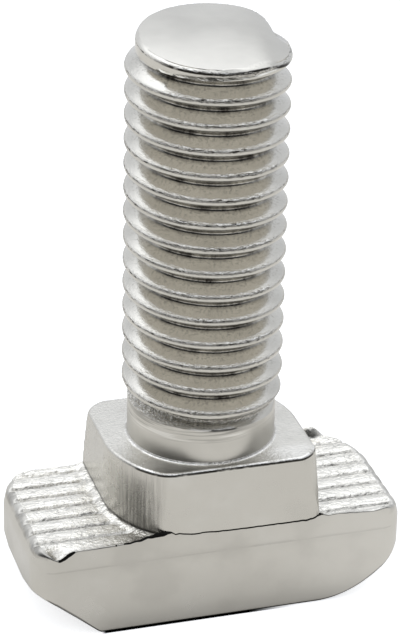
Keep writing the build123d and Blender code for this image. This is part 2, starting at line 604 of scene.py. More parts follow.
def collarOutline(height):
    # half of the outline, as places and outward directions: down the right end, round the stop corner,
    # along the front and round the turning corner
    share = max(0.0, min(1.0, (height - head["height"]) / collar["height"]))
    radius = collar["stopRadiusFoot"] + share * (collar["stopRadius"] - collar["stopRadiusFoot"])
    stopX = collarHalfLength - collar["stopCentre"]
    stopY = collar["stopCentre"] - collarHalfWidth
    # centre of the blend between the front face and the turning corner's arc
    blend = collar["turnBlend"]
    blendY = blend - collarHalfWidth
    blendX = -math.sqrt((collarHalfLength - blend) ** 2 - blendY ** 2)
    blendTurn = math.atan2(-blendY, -blendX)
    outline = []
    right, front = Vector((1, 0, 0)), Vector((0, -1, 0))

    def around(angle):
        return Vector((math.cos(angle), math.sin(angle), 0))

    for index in range(collar["endSteps"] + 1):
        outline.append((Vector((collarHalfLength, stopY * index / collar["endSteps"], 0)), right))
    for index in range(1, collar["stopSteps"]):
        out = around(math.radians(-90 * index / collar["stopSteps"]))
        x = min(stopX + radius * out.x, collarHalfLength)
        y = max(stopY + radius * out.y, -collarHalfWidth)
        outline.append((Vector((x, y, 0)), out))
    for index in range(collar["frontSteps"] + 1):
        x = stopX + (blendX - stopX) * index / collar["frontSteps"]
        outline.append((Vector((x, -collarHalfWidth, 0)), front))
    for index in range(1, collar["blendSteps"] + 1):
        out = around(-math.pi / 2 - (math.pi / 2 - blendTurn) * index / collar["blendSteps"])
        outline.append((Vector((blendX, blendY, 0)) + out * blend, out))
    for index in range(1, collar["turnSteps"]):
        out = around(math.pi + blendTurn * (1 - index / collar["turnSteps"]))
        outline.append((out * collarHalfLength, out))
    return outline


def makeCollar():
    # levels are a height, how far the outline stands in, and how far it spreads at the foot
    low, flare, rounding = head["height"], collar["flare"], collar["edgeRounding"]
    levels = [(low - collar["footDepth"], 0, flare)]
    for turn in collar["flareTurns"]:
        angle = math.radians(turn)
        levels.append((low + flare * (1 - math.cos(angle)), 0, flare * (1 - math.sin(angle))))
    levels += [(low + collar["height"] * share, 0, 0) for share in collar["wallShares"]]
    for turn in collar["edgeTurns"]:
        angle = math.radians(turn)
        levels.append((collarTop - rounding * (1 - math.sin(angle)), rounding * (1 - math.cos(angle)), 0))
    levels.append((collarTop, rounding * collar["topInset"], 0))
    points = []
    for height, inset, spread in levels:
        half = collarOutline(height)
        ring = half + [(-place, -out) for place, out in half]
        for place, out in ring:
            place = place - out * inset + out * spread
            y = max(-collarHalfWidth + inset, min(collarHalfWidth - inset, place.y))
            points.append((place.x, y, height))
    # round rings from the flat top up into the neck
    fillet, neck = collar["neckFillet"], collar["neckRadius"]
    rounds = []
    for turn in collar["filletTurns"]:
        angle = math.radians(turn)
        rounds.append((neck + fillet * (1 - math.sin(angle)), collarTop + fillet * (1 - math.cos(angle))))
    rounds.append((neck - collar["neckOverlap"], collarTop + fillet))
    for radius, height in rounds:
        for place, _ in ring:
            around = place.normalized() * radius
            points.append((around.x, around.y, height))
    loops = [range(start, start + len(ring)) for start in range(0, len(points), len(ring))]
    faces = []
    for loop, following in zip(loops, loops[1:]):
        faces.extend(wallFaces(loop, following))
    faces.append(tuple(loops[0]))
    faces.append(tuple(reversed(loops[-1])))
    return newPiece("collar", meshFrom("collar", points, faces, ["collarFace"] * len(faces)))


collarPiece = makeCollar()
checkClosed(collarPiece)


serration = {
    "Pitch": 1.08,
    "Count": 7,
    "Offset": 0.28,
    # the grooves grow wider and deeper towards the ends, and fade in the rounded edge
    "Inner depth": 0.13,
    "Depth": 0.16,
    "Inner half width": 0.16,
    "Half width": 0.23,
    "End start": 8.2,
    "End": 9.3,
    "Fade start": 8.8,
    "Fade end": 9.2,
    "Faded": 0.35,
    "Wander": 0.08,
    "Wander scale": 1.6,
    "Crown": 0.03,
    # torn surface, drawn out along the grooves
    "Roughness": 0.07,
    "Grain stretch": 0.6,
    "Grain scale": 6.5,
    "Grain detail": 2.0,
    "Grain roughness": 0.7,
    "Grain shift": 0.1,
    # metal pushed up round the collar
    "Collar radius": collarHalfLength,
    "Stop centre X": collarHalfLength - collar["stopCentre"],
    "Stop centre Y": collarHalfWidth - collar["stopCentre"],
    "Stop radius": collar["stopRadiusFoot"],
    "Bank height": 0.12,
    "Bank width": 0.4,
    "Bank wander": 0.3,
    "Bank scale": 2.2,
    "Groove start": 0.2,
    "Groove full": 0.52,
    # heights, and distances from the collar, between which all this sets in
    "Low": head["height"] - 0.6,
    "High": head["height"] - 0.05,
    "Hidden": -0.3,
    "Shown": -0.1,
}


def serrationTree():
    # presses the V grooves into both shoulders, roughens them and banks them up round the collar
    tree, geometry, target, size = newTree("serrations", serration)
    place = tree.nodes.new("GeometryNodeInputPosition").outputs[0]
    x, y, z = splitVector(tree, place)
    side, reach = x.calc("SIGN"), abs(x)
    number = (y + side * size["Offset"]) / size["Pitch"]
    limit = (size["Count"] - 1) / 2
    nearest = number.calc("ROUND").atMost(limit).atLeast(-limit)
    wander = noiseField(tree, place, size["Wander scale"]) * size["Wander"]
    away = abs(number - nearest + wander) * size["Pitch"]
    towardsEnd = reach.ramp(size["End start"], size["End"])
    grooveHalf = size["Inner half width"] + (size["Half width"] - size["Inner half width"]) * towardsEnd
    depth = size["Inner depth"] + (size["Depth"] - size["Inner depth"]) * towardsEnd
    groove = away.ramp(0.0, grooveHalf, 1.0, 0.0) * depth
    groove = groove * reach.ramp(size["Fade start"], size["Fade end"], 1.0, size["Faded"])
    crown = (away.ramp(0.0, size["Pitch"] * 0.5) - 1) * size["Crown"]
    # distance from the collar, whose turning corner is round about the axis
    turnGap = (x * x + y * y).calc("SQRT") - size["Collar radius"]
    cornerX = (reach - size["Stop centre X"]).atLeast(0.0)
    cornerY = (abs(y) - size["Stop centre Y"]).atLeast(0.0)
    stopGap = (cornerX * cornerX + cornerY * cornerY).calc("SQRT") - size["Stop radius"]
    stopGap = stopGap.atLeast(reach - size["Collar radius"])
    turning = (side * y).calc("GREATER_THAN", 0.0)
    gap = stopGap + (turnGap - stopGap) * turning
    wavyGap = gap + noiseField(tree, place, size["Bank scale"]) * size["Bank wander"]
    groove = groove * wavyGap.ramp(size["Groove start"], size["Groove full"])
    bank = wavyGap.ramp(0.0, size["Bank width"], size["Bank height"], 0.0)
    grain = joinVector(tree, x * size["Grain stretch"], y, z)
    rough = noiseField(tree, grain, size["Grain scale"], size["Grain detail"], size["Grain roughness"])
    rough = (rough - size["Grain shift"]) * size["Roughness"]
    share = z.ramp(size["Low"], size["High"]) * gap.ramp(size["Hidden"], size["Shown"])
    move = joinVector(tree, 0.0, 0.0, (crown - groove + rough + bank) * share)
    moved = addNode(tree, "GeometryNodeSetPosition", {"Geometry": geometry, "Offset": move})
    endTree(tree, moved.outputs[0], target)
    return tree


growMesh(headPiece, serrationTree(), serration)
checkClosed(headPiece)


shearedEnd = {
    "height": 29.27,
    "lean": 0.075,
    "crown": 0.2,
    "crownRadius": 3.69,
    # the side that the shear rolled over
    "rolledStart": 2.6,
    "rolledSlope": 0.445,
    "rolledAngle": -12.0,
    "rolledSoftness": 0.25,
    # the block that cuts the end
    "gridHalf": 4.6,
    "gridStep": 0.14,
    "top": 34.0,
}


def softStep(value, softness):
    # nothing below zero and the value itself above it, with a soft bend between
    if isinstance(value, Field):
        return ((value / softness).calc("EXPONENT") + 1).calc("LOGARITHM", math.e) * softness
    return math.log(1 + math.exp(value / softness)) * softness


def notNegative(value):
    return value.atLeast(0.0) if isinstance(value, Field) else max(0.0, value)


def endHeight(x, y):
    # height of the sheared end, from plain numbers or from fields
    across = math.radians(shearedEnd["rolledAngle"])
    beyond = x * math.cos(across) + y * math.sin(across) - shearedEnd["rolledStart"]
    rolled = softStep(beyond, shearedEnd["rolledSoftness"]) * shearedEnd["rolledSlope"]
    crown = notNegative((x * x + y * y) / -shearedEnd["crownRadius"] ** 2 + 1) * shearedEnd["crown"]
    return y * shearedEnd["lean"] - rolled + crown + shearedEnd["height"]


shank = {
    "Thread radius": 3.94,
    "Pitch": 1.25,
    "Crest angle": -107.14,
    "Crest height": 27.54,
    # section of the thread
    "Flank rise": 1.732,
    "Flank meets": 0.866,
    "Crest rounding": 0.2,
    "Root rounding": 0.13,
    "Crest wear": 0.02,
    "Wear along": 14.0,
    "Wear across": 9.0,
    "Wear seed": 0.5,
    "Wear start": 0.2,
    "Wear end": 0.45,
    "Root wear": 0.2,
    # the lowest groove fades into the neck
    "Lowest groove": 10.73,
    "Run-out": 0.55,
    "Run-out lift": 0.5,
    "Run-out end": 0.63,
    "Neck radius": collar["neckRadius"],
    "Neck top": 10.79,
    "Neck cone": 0.35,
    # the last part-turn isn't full, and its rim is rounded off
    "Rim start": 28.62,
    "Rim step": 0.03,
    "Rim radius": 3.69,
    "Rim X": 0.24,
    "Rim Y": -0.08,
    "Free radius": 9.0,  # where there is no rim yet
    "Drag": 0.3,
    "Drag X": 0.87,
    "Drag Y": -0.5,
    "Drag below": 0.2,
    "Drag above": 0.15,
    "Front edge rounding": 0.2,
    "Back edge rounding": 0.08,
    "Front edge": 0.45,
    "Back edge": 0.85,
    # the strip that is wound into the shank
    "Start height": 8.0,
    "Turns": 18,
    "Segments a turn": 78,
    "Rows a pitch": 36,
    "Merge distance": 0.0004,
}
# shares of the strip's half width, and the shares of the pitch that they take:
# rows lie close together on the crest, in the middle of the strip, and in the root
rowSpread = [(0.0, 0.6, 0.2), (0.6, 0.75, 0.2), (0.75, 1.0, 0.1)]


def roundedOff(depth, away, size, radius, level, way):
    # replaces the depth near a crest or a root, this far away, with an arc that meets both flanks
    arc = (-(radius * radius - away * away).atLeast(0.0).calc("SQRT") + radius) * way + level
    inside = away.calc("LESS_THAN", radius * size["Flank meets"])
    return depth + (arc - depth) * inside


def threadDepth(tree, size, turn, offCrest):
    # depth under the crest: a round crest, straight flanks at 60 degrees and a round root
    off, half = abs(offCrest), size["Pitch"] * 0.5
    crest, root = size["Crest rounding"], size["Root rounding"]
    depth = roundedOff(off * size["Flank rise"] - crest, off, size, crest, 0.0, 1.0)
    depth = roundedOff(depth, half - off, size, root, half * size["Flank rise"] - crest - root, -1.0)
    along, across = turn * size["Wear along"], offCrest * size["Wear across"]
    wearPlace = joinVector(tree, along, across, size["Wear seed"])
    wear = noiseField(tree, wearPlace, 1.0) * size["Crest wear"]
    return depth + wear * off.ramp(size["Wear start"], size["Wear end"], 1.0, size["Root wear"])


def threadTree():
    # a strip with a row for each step across the thread, wound up the shank as a left-hand helix
    tree, _, target, size = newTree("threadStrip", shank)
    turns, pitch = size["Turns"], size["Pitch"]
    strip = addNode(tree, "GeometryNodeMeshGrid", {
        "Size X": turns,
        "Size Y": 1.0,
        "Vertices X": turns * size["Segments a turn"] + 1,
        "Vertices Y": size["Rows a pitch"] + 1,
    })
    x, y = splitVector(tree, tree.nodes.new("GeometryNodeInputPosition").outputs[0])[:2]
    turn = x + turns * 0.5
    step, way = abs(y) * 2, y.calc("SIGN")
    across = sum(step.ramp(low, high, 0.0, share, smooth=False) for low, high, share in rowSpread) * way
    offCrest = across * pitch
    height = size["Start height"] + (turn + across) * pitch
    crestTurn = (size["Crest height"] - size["Start height"]) / pitch
    angle = ((turn - crestTurn) * -360 + size["Crest angle"]).calc("RADIANS")
    cosine, sine = angle.calc("COSINE"), angle.calc("SINE")
    # turns left to the lowest groove, from the groove below this crest or the one above it
    grooveHeight = height - offCrest + way * pitch * 0.5
    fadeTurns = (size["Lowest groove"] - grooveHeight) / pitch
    lift = fadeTurns.ramp(0.0, size["Run-out"], 0.0, size["Run-out lift"], smooth=False)
    gone = fadeTurns.ramp(size["Run-out"], size["Run-out end"])
    depth = threadDepth(tree, size, turn, offCrest)
    threaded = size["Thread radius"] - (depth - lift - gone).atLeast(0.0)
    # the last groove isn't full on the right, where the shear dragged the metal over
    dragged = (cosine * size["Drag X"] + sine * size["Drag Y"]).atLeast(0.0) * size["Drag"]
    rimStart = size["Rim start"]
    threaded = threaded + height.ramp(rimStart - size["Drag below"], rimStart + size["Drag above"]) * dragged
    coneShare = height.ramp(size["Neck top"], size["Neck top"] + size["Neck cone"], smooth=False)
    neck = size["Neck radius"] + (size["Thread radius"] - size["Neck radius"]) * coneShare
    rim = size["Rim radius"] + cosine * size["Rim X"] + sine * size["Rim Y"]
    rimStep = size["Rim step"]
    rim = height.ramp(rimStart - rimStep, rimStart + rimStep, size["Free radius"], rim, smooth=False)
    radius = threaded.atMost(neck).atMost(rim)
    # the rim is rounded off under the sheared end
    below = endHeight(radius * cosine, radius * sine) - height
    frontRounding, backRounding = size["Front edge rounding"], size["Back edge rounding"]
    edge = sine.ramp(size["Front edge"], size["Back edge"], frontRounding, backRounding)
    inside = (edge - below).atLeast(0.0).atMost(edge)
    radius = radius - edge + (edge * edge - inside * inside).calc("SQRT")
    spot = joinVector(tree, radius * cosine, radius * sine, height)
    wound = addNode(tree, "GeometryNodeSetPosition", {"Geometry": strip.outputs[0], "Position": spot})
    plugs = {"Geometry": wound.outputs[0], "Distance": size["Merge distance"]}
    sealed = addNode(tree, "GeometryNodeMergeByDistance", plugs)
    plugs = {"Geometry": sealed.outputs[0], "Material": finishes["threadFace"]}
    endTree(tree, addNode(tree, "GeometryNodeSetMaterial", plugs).outputs[0], target)
    return tree


def closeEnds(piece):
    # caps the strip's two open loops, and points its faces outwards
    shape = bmesh.new()
    shape.from_mesh(piece.data)
    rims = [edge for edge in shape.edges if edge.is_boundary]
    bmesh.ops.holes_fill(shape, edges=rims, sides=0)
    bmesh.ops.recalc_face_normals(shape, faces=shape.faces)
    caps = [face for face in shape.faces if len(face.verts) > 4]
    bmesh.ops.triangulate(shape, faces=caps)
    for face in shape.faces:
        face.smooth = True
    shape.to_mesh(piece.data)
    shape.free()


def makeShear():
    # a block above the end's surface, to be cut from the shank
    half = shearedEnd["gridHalf"]
    count = round(2 * half / shearedEnd["gridStep"])
    wide = count + 1
    lines = [-half + 2 * half * index / count for index in range(wide)]
    points = [(x, y, endHeight(x, y)) for y in lines for x in lines]
    faces = []
    for row in range(count):
        for column in range(count):
            a = row * wide + column
            faces.append((a, a + wide, a + wide + 1, a + 1))
    lowRim = [row * wide + column for row, column in gridOutline(count, count)]
    topRim = range(len(points), len(points) + len(lowRim))
    points += [(points[index][0], points[index][1], shearedEnd["top"]) for index in lowRim]
    faces += wallFaces(topRim, lowRim)
    faces.append(tuple(topRim))
    return newPiece("shear", meshFrom("shear", points, faces, ["shearedFace"] * len(faces)))


shankPiece = newPiece("shank", bpy.data.meshes.new("shank"))
growMesh(shankPiece, threadTree(), shank)
closeEnds(shankPiece)
checkClosed(shankPiece)
shearPiece = makeShear()
checkClosed(shearPiece)


def joinPieces(piece, other, operation):
    join = piece.modifiers.new(operation, "BOOLEAN")
    join.operation = operation
    join.object = other
    join.solver = "MANIFOLD"
    join.material_mode = "TRANSFER"
    bakeModifiers(piece)
    bpy.data.objects.remove(other)


sharpAngle = 38.0
joinPieces(shankPiece, shearPiece, "DIFFERENCE")
checkClosed(shankPiece)
bolt = newPiece("bolt", headPiece.data.copy())
bpy.data.objects.remove(headPiece)
joinPieces(bolt, collarPiece, "UNION")
joinPieces(bolt, shankPiece, "UNION")
checkClosed(bolt)
bolt.data.transform(Matrix.Scale(mm, 4))
bolt.data.set_sharp_from_angle(angle=math.radians(sharpAngle))
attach(bolt, "root")
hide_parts("t_slot_bolt")


plating = {
    "colour": (0.645, 0.622, 0.565),
    "tones": (0.93, 1.05),
    "toneBlotch": (-0.25, 0.25),
    # the dark paint serves for dirt and for painted shade, the bright one for pale blotches and painted
    # highlights
    "dirtAndShade": (0.045, 0.04, 0.034, 1),
    "glint": (0.97, 0.95, 0.9, 1),
    # noises: size in mm, detail and roughness; the streaks are drawn out along the axis
    "broad": (2.5, 3.0, 0.5),
    "patch": (0.9, 3.0, 0.6),
    "streak": (0.12, 3.0, 0.65),
    "streakSquash": (1, 1, 0.04),
    "grain": (4.0, 0.6),
    "fineRoughness": 0.08,
    "broadRoughness": 0.1,
    "bumpDistance": 0.05,
    "bumpStrength": 0.6,
}
finishSizes = {
    # grain size in mm, and the bump's depths for the grain and for upright streaks
    "satinFace": {"roughness": 0.3, "tone": 1.0, "grain": 0.5, "grainDepth": 0.1, "streakDepth": 0.0},
    # the shoulders' nickel is painted 1.36 times brighter, a painted highlight where their tops face the
    # bright tent
    "toothedFace": {"roughness": 0.2, "tone": 1.36, "grain": 0.16, "grainDepth": 1.6, "streakDepth": 0.0},
    "collarFace": {"roughness": 0.26, "tone": 1.0, "grain": 0.5, "grainDepth": 0.05, "streakDepth": 1.0},
    "threadFace": {"roughness": 0.17, "tone": 1.0, "grain": 0.3, "grainDepth": 0.15, "streakDepth": 0.0},
    # the lap's faces: nickel painted near black as shade in the crevice
    "lapShadeFace": {"roughness": 0.6, "tone": 0.04, "grain": 0.3, "grainDepth": 0.0, "streakDepth": 0.0},
    "shearedFace": {"roughness": 0.2, "tone": 1.0, "grain": 0.5, "grainDepth": 0.05, "streakDepth": 0.0},
}
# The marks below are set by ramps (a low and a high place, then the values there, 0 and 1 where left
# out), bands (a place, a reach and a value), noises (a size or scale, detail and roughness) and plain
# shares. Places are in mm.


def strongest(first, *others):
    for other in others:
        first = first.atLeast(other)
    return first


headMarks = {
    "side": (halfWidth - 0.2, halfWidth - 0.08),
    "creaseBand": (head["creaseHeight"], 0.05),
    "creaseShare": 0.16,
    # painted shade on faces that look down
    "low": (-0.35, -0.08, 1.0, 0.0),
    "downShadeShare": 0.85,
    # painted shade on the ends' upper edge, under the teeth's tips
    "tipBand": (4.72, 0.3),
    "tipSide": (8.6, 8.9),
    "tipPatch": 2.0,
    "tipLeast": 0.3,
    "tipShadeShare": 0.8,
    "blotch": (-0.05, 0.2, 0.0, 0.14),
    # painted shade, a little, towards the left end
    "leftShade": (-8.0, -2.0, 0.03, 0.0),
    "pale": (-0.25, 0.0, 0.14, 0.0),
    # painted highlight towards the right end
    "rightHighlight": (1.0, 8.0, 0.0, 0.2),
}


def paintHead(look):
    # darker along the forging's parting line; painted shade on faces that look down, under the teeth's tips
    # at the ends and a little towards the left; broad blotches; and a painted highlight towards the right
    marks = headMarks
    onSide = abs(look.y).ramp(*marks["side"])
    crease = look.z.near(*marks["creaseBand"]) * onSide * marks["creaseShare"]
    normal = look.tree.nodes.new("ShaderNodeNewGeometry").outputs["Normal"]
    # painted shade on faces that look down
    low = splitVector(look.tree, normal)[2].ramp(*marks["low"]) * onSide * marks["downShadeShare"]
    # painted shade under the teeth's tips at the ends
    tips = look.z.near(*marks["tipBand"]) * abs(look.x).ramp(*marks["tipSide"])
    tips = tips * (look.patch * marks["tipPatch"] + marks["tipLeast"]) * marks["tipShadeShare"]
    blotch = look.broad.ramp(*marks["blotch"]) + look.x.ramp(*marks["leftShade"])
    look.dark = strongest(crease, low, tips, blotch)
    look.bright = look.broad.ramp(*marks["pale"]) + look.x.ramp(*marks["rightHighlight"])


teethMarks = {
    # torn marks and pressed lines, drawn out along the grooves
    "squiggleStretch": 0.55,
    "squiggleNoise": (2.8, 1.5, 0.5),
    "squiggle": (0.0, 0.05, 0.38, 0.0),
    "squigglePatch": (-0.2, 0.1),
    "drawnStretch": 0.12,
    "drawnNoise": (3.2, 2.0, 0.5),
    "drawn": (0.0, 0.05, 0.22, 0.0),
    # painted shade in the grooves' roots, in shares of the pitch
    "grooveWander": 0.03,
    "grooveShadeBand": (0.0, 0.1, 0.24),
}


def paintTeeth(look):
    marks = teethMarks
    wavy = joinVector(look.tree, look.x * marks["squiggleStretch"], look.y, look.z)
    squiggle = abs(noiseField(look.tree, wavy, *marks["squiggleNoise"]))
    squiggle = squiggle.ramp(*marks["squiggle"]) * look.patch.ramp(*marks["squigglePatch"])
    pressed = joinVector(look.tree, look.x * marks["drawnStretch"], look.y, look.z)
    drawn = abs(noiseField(look.tree, pressed, *marks["drawnNoise"])).ramp(*marks["drawn"])
    # painted shade in the grooves' roots
    number = (look.y + look.x.calc("SIGN") * serration["Offset"]) / serration["Pitch"]
    groove = (number + look.fine * marks["grooveWander"]).calc("PINGPONG", 0.5)
    look.dark = strongest(squiggle, drawn, groove.near(*marks["grooveShadeBand"]))


collarMarks = {
    # painted shade in the corner where the collar's foot meets the shoulders
    "jointPatch": 0.15,
    "cornerShade": (5.1, 5.18, 0.8, 0.0),
    "jointSide": (-4.05, -3.95),
    # painted shade as a broken dark line under the front edge, and a painted highlight on it
    "front": (-3.0, -2.6, 1.0, 0.0),
    "edgeBand": (collarTop - 0.13, 0.06),
    "edgePatch": (-0.15, 0.0, 0.3, 0.95),
    "glintBand": (collarTop - 0.04, 0.05),
    "glintPatch": (-0.1, 0.05),
    "glintShare": 0.8,
    # painted dark reflection on the left flank, streaked along the brushing
    "flankBand": (-3.95, 1.3),
    "flankBack": (-2.0, -1.0, 1.0, 0.0),
    "flankFront": (-4.08, -3.9, 0.3, 1.0),
    "flankHeight": (6.4, 8.4, 0.38, 0.1),
    "flankStreaks": 4.0,
    "flankLeast": 0.8,
    # blotches, streaks on the top, and a painted highlight as a bright ring round the neck's foot
    "blotch": (-0.05, 0.2, 0.0, 0.1),
    "top": (collarTop - 0.02, collarTop - 0.01),
    "topStreaks": (0.0, 0.2),
    "topShare": 0.1,
    "pale": (-0.25, 0.0, 0.18, 0.0),
    "ringBand": (8.475, 0.04, 0.6),
    "ringPatch": (-0.12, 0.02),
}


def paintCollar(look):
    marks = collarMarks
    y, z, patch = look.y, look.z, look.patch
    # painted shade at the collar's foot
    cornerShade = (z + patch * marks["jointPatch"]).ramp(*marks["cornerShade"])
    cornerShade = cornerShade * y.ramp(*marks["jointSide"])
    onFront = y.ramp(*marks["front"])
    # painted shade under the front edge, and further down a painted highlight on it
    edge = z.near(*marks["edgeBand"]) * onFront * patch.ramp(*marks["edgePatch"])
    # painted dark reflection on the left flank, streaked along the brushing
    flankStreakShade = look.streaks * marks["flankStreaks"] + marks["flankLeast"]
    flank = look.x.near(*marks["flankBand"]) * y.ramp(*marks["flankBack"]) * flankStreakShade
    flank = flank * y.ramp(*marks["flankFront"]) * z.ramp(*marks["flankHeight"])
    scratches = z.ramp(*marks["top"]) * look.streaks.ramp(*marks["topStreaks"])
    blotch = look.broad.ramp(*marks["blotch"]) + scratches * marks["topShare"]
    look.dark = strongest(cornerShade, edge, flank, blotch)
    glint = z.near(*marks["glintBand"]) * onFront * patch.ramp(*marks["glintPatch"])
    pale = look.broad.ramp(*marks["pale"]) * onFront
    # painted highlight as a bright ring round the neck's foot
    ring = z.near(*marks["ringBand"]) * patch.ramp(*marks["ringPatch"])
    look.bright = glint * marks["glintShare"] + pale + ring


threadMarks = {
    # lines along the thread: how they follow the helix, and their bump about the crest's upper edge
    "lineShift": (0.9, 0.8),
    "lineSquash": 6.0,
    "lineNoise": (4.0, 3.0, 0.65),
    "lineEdge": 0.12,
    "lineDepth": (0.03, 0.13, 1.2, 0.18),
    "lineHeight": (10.4, 10.9),
    "neckRoughness": (10.3, 10.8, 0.16, 0.0),
    "thread": (10.9, 11.3),
    # painted shade in the roots, patchy, and dust on the flanks
    "rootShade": (0.42, 0.6),
    "rootShadePatch": 5.0,
    "rootShadeShare": 0.5,
    "specks": (0.13, 2.0, 0.6),
    "dust": (0.02, 0.14),
    "dustAway": (0.2, 0.4),
    "dustShare": 0.22,
    # painted shade as dark flecks and longer dashes, and painted highlights as glints, along the crests
    "fleckBand": (0.09, 0.05),
    "fleckLines": (0.0, 0.05),
    "fleckSide": (-0.5, 3.0, 1.0, 0.5),
    "fleckPatch": (-0.12, 0.05, 0.45, 1.0),
    "dashBand": (0.09, 0.11),
    "dashLines": (0.03, 0.07),
    "dashSide": (2.0, 3.0, 1.0, 0.0),
    "dashPatch": (0.0, 0.08),
    "glintBand": (0.15, 0.05),
    "glintLines": (0.0, -0.08),
    "glintSide": (1.6, 3.0, 1.0, 0.1),
    "glintPatch": (-0.15, 0.1, 0.2, 1.0),
    "glintShare": 0.9,
    # the rim of the sheared end
    "rimBand": (0.14, 0.07),
    "rimSide": (-2.6, -1.8, 1.0, 0.0),
    "rimPatch": (-0.1, 0.0),
    # the pitted last groove, with painted highlights as bright specks among the dark pits
    "pits": (0.14, 2.0, 0.6),
    "pitDepth": (10.75, 0.5, 5.0),
    "pitBand": (10.75, 0.4),
    "pitDark": (-0.06, 0.1, 0.05, 0.35),
    "pitBright": (-0.08, -0.14, 0.0, 0.55),
    # turned rings on the neck
    "ringSquash": (0.25, 0.25, 7.0),
    "ringNoise": (1.0, 2.0, 0.6),
    "ringBand": (10.1, 0.6),
    "ringSide": (0.5, 2.0, 1.0, 0.2),
    "ringDark": (0.02, 0.12, 0.0, 0.4),
    "ringBright": (-0.04, -0.12, 0.0, 0.5),
}


def crestOffset(x, y, z):
    # height over the nearest crest of the thread
    turned = (y.calc("ARCTAN2", x) - math.radians(shank["Crest angle"])) * (shank["Pitch"] / math.tau)
    offset = z - shank["Crest height"] + turned
    return offset.calc("WRAP", shank["Pitch"] / 2, -shank["Pitch"] / 2)


def paintThread(look):
    marks = threadMarks
    tree, x, y, z, patch = look.tree, look.x, look.y, look.z, look.patch
    offset = crestOffset(x, y, z)
    crest = z - offset
    shiftX, shiftY = marks["lineShift"]
    lined = joinVector(tree, x + crest * shiftX, y - crest * shiftY, offset * marks["lineSquash"])
    lines = noiseField(tree, lined, *marks["lineNoise"])
    onEdge = abs(offset - marks["lineEdge"]).ramp(*marks["lineDepth"])
    pits = patches(tree, look.place, *marks["pits"])
    look.height = look.height + lines * onEdge * z.ramp(*marks["lineHeight"])
    look.height = look.height + pits * z.near(*marks["pitDepth"])
    look.rough = look.rough + z.ramp(*marks["neckRoughness"])

    onThread = z.ramp(*marks["thread"])
    # painted shade in the thread's roots
    rootShade = abs(offset).ramp(*marks["rootShade"]) * (patch * marks["rootShadePatch"] + 1)
    specks = patches(tree, look.place, *marks["specks"])
    dust = specks.ramp(*marks["dust"]) * abs(offset).ramp(*marks["dustAway"])
    dustAndRootShade = rootShade * marks["rootShadeShare"] + dust * marks["dustShare"]
    # painted shade as dark flecks and dashes along the crests; glints below are painted highlights
    flecks = offset.near(*marks["fleckBand"]) * lines.ramp(*marks["fleckLines"])
    flecks = flecks * x.ramp(*marks["fleckSide"]) * patch.ramp(*marks["fleckPatch"])
    dashes = offset.near(*marks["dashBand"]) * lines.ramp(*marks["dashLines"])
    dashes = dashes * abs(x).ramp(*marks["dashSide"]) * patch.ramp(*marks["dashPatch"])
    glints = offset.near(*marks["glintBand"]) * lines.ramp(*marks["glintLines"])
    glints = glints * abs(x).ramp(*marks["glintSide"]) * patch.ramp(*marks["glintPatch"])
    rim = (endHeight(x, y) - z).near(*marks["rimBand"])
    rim = rim * y.ramp(*marks["rimSide"]) * patch.ramp(*marks["rimPatch"])
    pitted = z.near(*marks["pitBand"])
    turned = joinVector(tree, *(part * squash for part, squash in zip((x, y, z), marks["ringSquash"])))
    rings = noiseField(tree, turned, *marks["ringNoise"])
    onRings = z.near(*marks["ringBand"]) * x.ramp(*marks["ringSide"])
    crests = strongest(dustAndRootShade, flecks, dashes) * onThread
    darkPits = pitted * specks.ramp(*marks["pitDark"])
    darkRings = onRings * rings.ramp(*marks["ringDark"])
    look.dark = strongest(crests, rim, darkPits, darkRings)
    look.bright = glints * onThread * marks["glintShare"]
    look.bright = look.bright + pitted * specks.ramp(*marks["pitBright"])
    look.bright = look.bright + onRings * rings.ramp(*marks["ringBright"])


painters = {
    "satinFace": paintHead,
    "toothedFace": paintTeeth,
    "collarFace": paintCollar,
    "threadFace": paintThread,
}


def paintFinish(name):
    # nickel with an uneven roughness and bump, and each face's dark marks (dirt and painted shade) and
    # bright marks (pale blotches and painted highlights) over its colour
    sizes, finish = finishSizes[name], finishes[name]
    finish.use_nodes = True
    tree = finish.node_tree
    shader = tree.nodes["Principled BSDF"]
    look = SimpleNamespace(tree=tree, dark=None, bright=None)
    look.place = tree.nodes.new("ShaderNodeTexCoord").outputs["Object"]
    look.x, look.y, look.z = (part / mm for part in splitVector(tree, look.place))
    look.broad = patches(tree, look.place, *plating["broad"])
    look.patch = patches(tree, look.place, *plating["patch"])
    look.fine = patches(tree, look.place, sizes["grain"], *plating["grain"])
    drawnOut = addNode(tree, "ShaderNodeMapping", {"Vector": look.place, "Scale": plating["streakSquash"]})
    look.streaks = patches(tree, drawnOut.outputs[0], *plating["streak"])
    unevenShine = look.fine * plating["fineRoughness"] + look.broad * plating["broadRoughness"]
    look.rough = unevenShine + sizes["roughness"]
    look.height = look.fine * sizes["grainDepth"] + look.streaks * sizes["streakDepth"]
    if name in painters:
        painters[name](look)
    tones = [tone * sizes["tone"] for tone in plating["tones"]]
    low, high = ([part * tone for part in plating["colour"]] + [1] for tone in tones)
    colour = mixColour(tree, look.broad.ramp(*plating["toneBlotch"]), low, high)
    for cover, paint in ((look.dark, plating["dirtAndShade"]), (look.bright, plating["glint"])):
        if cover is not None:
            colour = mixColour(tree, cover.atLeast(0.0).atMost(1.0), colour, paint)
    plug(tree, colour, shader.inputs["Base Color"])
    plug(tree, look.rough, shader.inputs["Roughness"])
    shader.inputs["Metallic"].default_value = 1.0
    bump = addNode(tree, "ShaderNodeBump", {
        "Height": look.height,
        "Distance": plating["bumpDistance"] * mm,
        "Strength": plating["bumpStrength"],
    })
    plug(tree, bump.outputs[0], shader.inputs["Normal"])


for name in finishNames:
    paintFinish(name)
print("finishes:", ", ".join(finishNames))


